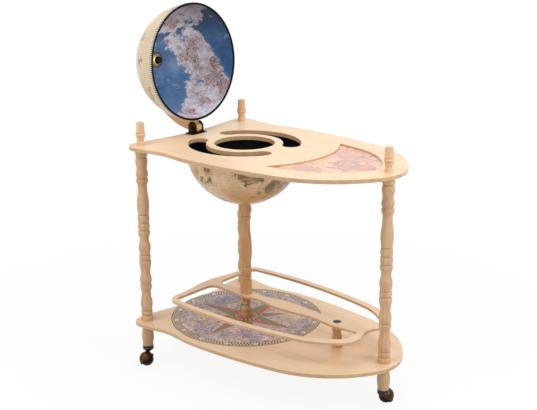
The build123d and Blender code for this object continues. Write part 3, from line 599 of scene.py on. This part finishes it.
def compass_map(finish, point):
    """The compass's ground: a faded map with wet stains, pale waves and dark veins."""
    rosy = (tone(206, 176, 166), tone(186, 150, 144), tone(160, 132, 136))
    tints = [
        (0.0, tone(196, 158, 146)), (0.4, tone(146, 138, 156)), (0.48, tone(212, 186, 168)),
        (0.56, tone(130, 130, 150)), (0.63, tone(204, 166, 150)),
    ]
    paper, moved = old_map(finish, point, 3.4, rosy, tints, tone(78, 62, 74), 9.6, 0.5, 0.06)
    wet = finish.rise(finish.noise(moved, 1.1, 3, 0.6), 0.49, 0.54)
    paper = finish.mix(wet * 0.78, paper, tone(140, 136, 162))
    pools = finish.rise(finish.noise(moved, 2.6, 4, 0.6, 0.8), 0.54, 0.6)
    paper = finish.mix(pools * 0.6, paper, tone(232, 198, 178))
    waves = finish.near(finish.noise(moved, 5.5, 4, 0.6, 1.8), 0.5, 0.035)
    paper = finish.mix(waves * 0.7, paper, tone(240, 220, 204))
    veins = finish.near(finish.noise(moved, 9.0, 5, 0.65, 0.9), 0.5, 0.012)
    paper = finish.mix(veins * 0.75, paper, tone(82, 56, 56))
    speckle = finish.noise(moved, 30, 3, 0.7)
    paper = finish.mix(finish.rise(speckle, 0.56, 0.66) * 0.3, paper, tone(112, 84, 88))
    return finish.mix(finish.rise(speckle, 0.44, 0.36) * 0.35, paper, tone(232, 216, 202))


def compass_rose(finish, point, radius, around, paper):
    """Fine rays under two four-pointed stars, each point half red and half green, and a hub."""
    rays = 1 - finish.rise(finish.spaced(around, pi / 16) * radius, 0.0015, 0.004)
    paper = finish.mix(rays * 0.3, paper, tone(110, 92, 96))
    for length, width, offset in ((0.60, 0.20, pi / 4), (0.82, 0.18, 0.0)):
        off = around - offset
        fold = off.math("PINGPONG", off, pi / 4)
        along = radius * fold.math("COSINE", fold)
        beside = radius * fold.math("SINE", fold)
        gap = (length - along) * width - beside
        inside = finish.rise(gap, 0.0, 0.006)
        turn = off.math("FLOORED_MODULO", off, pi / 2)
        ahead = turn < pi / 4
        grain = finish.rise(finish.noise(point, 26, 4, 0.7), 0.35, 0.65)
        green = finish.mix(grain, tone(80, 102, 58), tone(122, 142, 90))
        red = finish.mix(grain, tone(162, 64, 54), tone(194, 98, 82))
        paper = finish.mix(inside * 0.92, paper, finish.mix(ahead, red, green))
        outline = finish.near(gap, 0.0, 0.008)
        paper = finish.mix(outline * 0.6, paper, tone(216, 196, 166))
    hub = 1 - finish.rise(radius, 0.165, 0.172)
    petals = finish.rise(finish.spaced(around, pi / 8) * radius, 0.012, 0.02)
    paper = finish.mix(hub, paper, finish.mix(petals, tone(160, 92, 72), tone(206, 180, 130)))
    return finish.mix(finish.near(radius, 0.17, 0.012) * 0.7, paper, tone(96, 66, 48))


def compass_border(finish, point, radius, around, paper):
    """Two rows of divisions with pale panes on them, between three ruled lines, and the edge."""
    inner, split, outer, edge = 0.885, 0.928, 0.972, 0.986
    step = pi / 72
    across = finish.spaced(around, step) / step
    row = finish.rise(radius, split, split + 0.003)
    marks = row * finish.rise(across, 0.3, 0.22) + (1 - row) * finish.rise(across, 0.2, 0.28)
    worn = finish.rise(finish.noise(point, 18, 4, 0.7), 0.3, 0.62)
    border = finish.mix(marks * (0.58 + worn * 0.42), tone(220, 200, 170), tone(54, 50, 36))
    panes = finish.spaced(around, pi / 8) * 5.5 + abs(radius - split) * 8
    border = finish.mix(1 - finish.rise(panes, 0.24, 0.28), border, tone(232, 212, 196))
    paper = finish.mix(finish.rise(radius, inner, inner + 0.003), paper, border)
    lines = ((inner + 0.002, 0.005, 0.75), (split + 0.001, 0.003, 0.5), (outer - 0.002, 0.005, 0.8))
    for line, wide, dark in lines:
        paper = finish.mix(finish.near(radius, line, wide) * dark, paper, tone(66, 58, 44))
    paper = finish.mix(finish.rise(radius, outer, outer + 0.004), paper, tone(206, 184, 148))
    return finish.mix(finish.rise(radius, edge, edge + 0.004), paper, tone(58, 54, 42))


def compass_print(name):
    """Compass disc: a faded map under an eight-pointed rose, inside a border of divisions."""
    finish = Finish(name, coat_weight=0.3, coat_roughness=0.3, specular_ior_level=0.3)
    point = finish.place((globe_x, 0, shelf_top), (0, 0, radians(4)), (COMPASS_RADIUS,) * 3)
    x, y, _ = finish.parts(point)
    radius = (x * x + y * y) ** 0.5
    around = finish.wheel(x, y)
    paper = compass_map(finish, point)
    paper = compass_rose(finish, point, radius, around, paper)
    finish.set("base color", compass_border(finish, point, radius, around, paper))
    finish.set("roughness", 0.5 + finish.noise(point, 60, 2) * 0.1)
    finish.relief(finish.noise(point, 240, 3), 0.00005)
    return finish.material


# ---------------------------------------------------------------- modelling
def piece(name, mesh, finish, body, stands_for):
    """A finished bmesh as an object that moves with a body and stands for CAD pieces."""
    bmesh.ops.remove_doubles(mesh, verts=mesh.verts, dist=1e-6)
    bmesh.ops.recalc_face_normals(mesh, faces=mesh.faces)
    data = bpy.data.meshes.new(name)
    mesh.to_mesh(data)
    mesh.free()
    data.materials.append(finish)
    made = bpy.data.objects.new(name, data)
    bpy.context.scene.collection.objects.link(made)
    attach(made, body)
    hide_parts(*stands_for)


def gather(whole, part):
    """Adds one bmesh to another."""
    data = bpy.data.meshes.new("part")
    part.to_mesh(data)
    part.free()
    whole.from_mesh(data)
    bpy.data.meshes.remove(data)


def spun(mesh, profile, place, steps):
    """A profile of radius and height pairs, turned about Z and set in its place."""
    verts = [mesh.verts.new((radius, 0, height)) for radius, height in profile]
    edges = [mesh.edges.new(pair) for pair in zip(verts, verts[1:])]
    before = set(mesh.verts) - set(verts)
    bmesh.ops.spin(
        mesh, geom=verts + edges, cent=(0, 0, 0), axis=(0, 0, 1), angle=tau, steps=steps,
        use_merge=True,
    )
    bmesh.ops.transform(mesh, matrix=place, verts=[v for v in mesh.verts if v not in before])


def screw_head(mesh, place, radius, height):
    """A domed screw head with a cross recess, alone in its bmesh, with its seat at place."""
    skirt, recess_depth = 0.0004, height * 0.6
    dome = [pi / 2 * k / 8 for k in range(9)]
    profile = [(0, -skirt), (radius, -skirt)]
    profile += [(radius * cos(angle), height * sin(angle)) for angle in dome]
    spun(mesh, profile, Matrix.Identity(4), 32)
    half, reach = radius * 0.13, radius * 0.62
    for axis in (Vector((1, 0, 0)), Vector((0, 1, 0))):
        for distance in (-reach, -half, half, reach):
            geom = mesh.verts[:] + mesh.edges[:] + mesh.faces[:]
            bmesh.ops.bisect_plane(
                mesh, geom=geom, plane_co=axis * distance, plane_no=axis, dist=1e-7
            )
    cross = []
    for face in mesh.faces:
        spot = face.calc_center_median()
        x, y = abs(spot.x), abs(spot.y)
        if face.normal.z > 0.3 and min(x, y) < half and max(x, y) < reach:
            cross.append(face)
    sunk = bmesh.ops.extrude_face_region(mesh, geom=cross)["geom"]
    bmesh.ops.delete(mesh, geom=cross, context="FACES_ONLY")
    bottom = [v for v in sunk if isinstance(v, bmesh.types.BMVert)]
    bmesh.ops.translate(mesh, verts=bottom, vec=(0, 0, -recess_depth))
    bmesh.ops.transform(mesh, matrix=place, verts=mesh.verts)


def hex_nut(mesh, place, flats, height):
    """A chamfered hexagon nut with its lower face at place, alone in its bmesh."""
    corner, chamfer = flats / 2 / cos(pi / 6), 0.0007
    bmesh.ops.create_cone(
        mesh, cap_ends=True, segments=6, radius1=corner, radius2=corner, depth=height,
        matrix=Matrix.Translation((0, 0, height / 2)),
    )
    rims = [e for e in mesh.edges if abs(e.verts[0].co.z - e.verts[1].co.z) < 1e-6]
    bmesh.ops.bevel(
        mesh, geom=rims, offset=chamfer, offset_type="OFFSET", segments=2, profile=0.5,
        affect="EDGES", material=-1,
    )
    bmesh.ops.transform(mesh, matrix=place, verts=mesh.verts)


# ---------------------------------------------------------------- finishes on the CAD pieces
def dress(finish, *names):
    """Gives CAD pieces a finish as their only material."""
    for name in names:
        slots = frame["nodes"][name].data.materials
        slots.clear()
        slots.append(finish)


dress(lacquered_board("board_lacquer"), "top_board", "shelf_board", "gallery_plate")
for place in PLACES:
    leg = middle(f"leg_{place}")
    wood = turned_wood(f"turned_wood_{place}", leg, tone(226, 189, 150), tone(206, 164, 122))
    dress(wood, f"leg_{place}", f"foot_{place}")
    wood = turned_wood(f"finial_wood_{place}", leg, tone(244, 208, 170), tone(230, 190, 148))
    dress(wood, f"finial_{place}")
# The column's wood is a darker, browner copy of the turned wood: painted shade for the globe's
# shade over it.
wood = turned_wood("column_wood_painted_shade", bowl_centre, tone(218, 171, 122), tone(194, 146, 96))
dress(wood, "column_upper", "column_lower")
wood = turned_wood("post_wood", middle("gallery_post"), tone(216, 174, 132), tone(196, 150, 106))
dress(wood, "gallery_post")
dress(bent_wood("arm_lacquer"), "lid_arm")

dress(panel_print("panel_paper"), "map_panel")
dress(compass_print("compass_paper"), "compass_panel")
dress(lid_print("lid_paper"), "lid_shell")
dress(sky_print("sky_paper"), "lid_lining")
dress(scale_print("scale_paper"), "scale_band")
dress(bowl_print("bowl_paper"), "globe_bowl")
dress(rim_print("rim_moulding"), "lid_rim")
dress(moulded("plug_stain", tone(64, 40, 28), tone(96, 64, 44), 0.3, 0.25), "post_plug")

bronze = aged_brass("dark_bronze", tone(32, 21, 11), tone(72, 50, 25), 0.26, 0.7, 0.4)
dress(bronze, "hinge_bracket", "hinge_pin", "arm_bush", "pole_bolt", "pole_washer")
dress(cup_brass("brass_with_painted_highlight"), "pole_cup")
dress(moulded("nut_cap", tone(14, 12, 12), tone(34, 30, 28), 0.3, 0.2), "pole_nut")
steel = plain_steel("zinc_steel")
dress(steel, "column_rod", "finial_studs", "foot_studs", "post_screw")

hood = aged_brass("caster_bronze", tone(72, 47, 30), tone(100, 70, 46), 0.22, 0.2, 0.05)
tread = moulded("caster_tread", tone(14, 14, 17), tone(34, 33, 36), 0.34, 0.15)
cap = moulded("caster_cap", tone(24, 17, 13), tone(60, 48, 36), 0.2, 0.5)
for place in PLACES:
    dress(hood, f"caster_hood_{place}")
    dress(tread, f"caster_wheel_{place}")
    dress(cap, f"caster_socket_{place}")
    dress(bronze, f"caster_stem_{place}", f"caster_axle_{place}")


# ---------------------------------------------------------------- small fasteners
def bracket_screws(finish):
    """Four domed screws that hold the hinge's bracket on the top board."""
    low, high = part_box("bracket_screws")
    head_radius, head_height, shank_radius = 0.0034, 0.0018, 0.0019
    seat = high.z - head_height
    length = seat - low.z
    shank = [(0, 0), (shank_radius, 0), (shank_radius, length), (0, length)]
    screws = bmesh.new()
    for x in (low.x + head_radius, high.x - head_radius):
        for y in (low.y + head_radius, high.y - head_radius):
            # each screw's cross has stopped at an angle of its own
            turn = Matrix.Rotation(0.6 + 40 * x + 20 * y, 4, "Z")
            screw = bmesh.new()
            screw_head(screw, Matrix.Translation((x, y, seat)) @ turn, head_radius, head_height)
            spun(screw, shank, Matrix.Translation((x, y, low.z)), 20)
            gather(screws, screw)
    piece("bracket_screw_set", screws, finish, "frame", ["bracket_screws"])


def column_nuts(finish):
    """A washer and a hexagon nut at each end of the column's rod."""
    low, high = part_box("column_nuts")
    washer, nut_height, flats = 0.0016, 0.0065, 0.013
    bore, rim, low_edge, high_edge = 0.0042, 0.008, 0.0001, 0.0002
    ring = [
        (bore, 0), (rim - low_edge, 0), (rim, low_edge), (rim, washer - high_edge),
        (rim - high_edge, washer), (bore, washer), (bore, 0),
    ]
    stack = washer + nut_height
    nuts = bmesh.new()
    for seat, turn in ((low.z + stack, pi), (high.z - stack, 0)):
        place = Matrix.Translation((globe_x, 0, seat)) @ Matrix.Rotation(turn, 4, "X")
        disc = bmesh.new()
        spun(disc, ring, place, 40)
        gather(nuts, disc)
        nut = bmesh.new()
        hex_nut(nut, place @ Matrix.Translation((0, 0, washer)), flats, nut_height)
        gather(nuts, nut)
    piece("column_nut_set", nuts, finish, "frame", ["column_nuts"])


bracket_screws(bronze)
column_nuts(steel)


# ---------------------------------------------------------------- floor, light and camera
def studio_floor():
    """A pale floor, white to the camera, that keeps a faint shadow round the table."""
    half_side, clearance = 9, 0.0003
    mesh = bmesh.new()
    bmesh.ops.create_grid(mesh, x_segments=1, y_segments=1, size=half_side)
    bmesh.ops.translate(mesh, verts=mesh.verts, vec=(0, 0, -clearance))
    data = bpy.data.meshes.new("studio_floor")
    mesh.to_mesh(data)
    mesh.free()
    floor = bpy.data.objects.new("studio_floor", data)
    bpy.context.scene.collection.objects.link(floor)
    paint = Finish("studio_white", roughness=0.9, specular_ior_level=0.0)
    seen = paint.seen()
    paint.set("base color", paint.mix(seen, (0.76, 0.76, 0.76, 1), WHITE))
    shadow_end, white_start, least_glow = 0.6, 1.5, 0.9
    away = paint.rise(paint.from_axis(paint.place()), shadow_end, white_start)
    share = seen * (least_glow + away * (1 - least_glow))
    shader = Wire(paint, paint.shader.outputs[0])
    glow = paint.add("ShaderNodeEmission", sockets={"Color": WHITE, "Strength": 1.0})
    both = paint.add("ShaderNodeMixShader", sockets={0: share, 1: shader, 2: glow})
    paint.join(paint.tree.nodes["Material Output"].inputs["Surface"], both)
    data.materials.append(paint.material)


def softbox(name, place, aim, size, watts):
    """A round soft lamp at a place, aimed at a point."""
    lamp = bpy.data.lights.new(name, "AREA")
    lamp.shape = "DISK"
    lamp.size = size
    lamp.energy = watts
    made = bpy.data.objects.new(name, lamp)
    made.location = place
    made.rotation_euler = (Vector(aim) - Vector(place)).to_track_quat("-Z", "Y").to_euler()
    bpy.context.scene.collection.objects.link(made)


def surroundings(strength):
    """White all round: plain to the camera and in reflections, and fainter as light."""
    world = bpy.data.worlds.new("studio")
    bpy.context.scene.world = world
    air = Nodes(world)
    back = air.tree.nodes["Background"]
    air.join(back.inputs["Color"], WHITE)
    air.join(back.inputs["Strength"], air.seen() * (1 - strength) + strength)


def camera():
    """A long lens, a little above the table and off its narrow end."""
    picture_width, focal_length, lowered = 537, 1104.56, 15  # in pixels
    lens = bpy.data.cameras.new("camera")
    lens.sensor_width = 36
    lens.lens = focal_length * lens.sensor_width / picture_width
    lens.shift_y = -lowered / picture_width
    lens.clip_end = 50
    made = bpy.data.objects.new("camera", lens)
    pan, tilt, roll = radians(41.083), radians(74.083), radians(-0.273)
    turn = Matrix.Rotation(pan, 4, "Z") @ Matrix.Rotation(tilt, 4, "X")
    turn = turn @ Matrix.Rotation(roll, 4, "Z")
    stand = Vector((globe_x + 2.01, -2.2057, 1.3594))
    made.matrix_world = Matrix.Translation(stand) @ turn
    bpy.context.scene.collection.objects.link(made)
    bpy.context.scene.camera = made


studio_floor()
surroundings(0.31)
softbox("key", (-0.3, -1.7, 2.9), (0, 0, 0.5), 2.0, 30)
softbox("top", (0.1, 0.9, 3.0), (0, 0, 0.6), 2.2, 32)
softbox("left", (-0.75, -1.35, 0.9), (0, 0, 0.45), 1.0, 4.5)
softbox("right", (1.6, 0.1, 1.2), (0.1, 0, 0.6), 0.9, 11)
camera()
bpy.context.scene.view_settings.view_transform = "Standard"
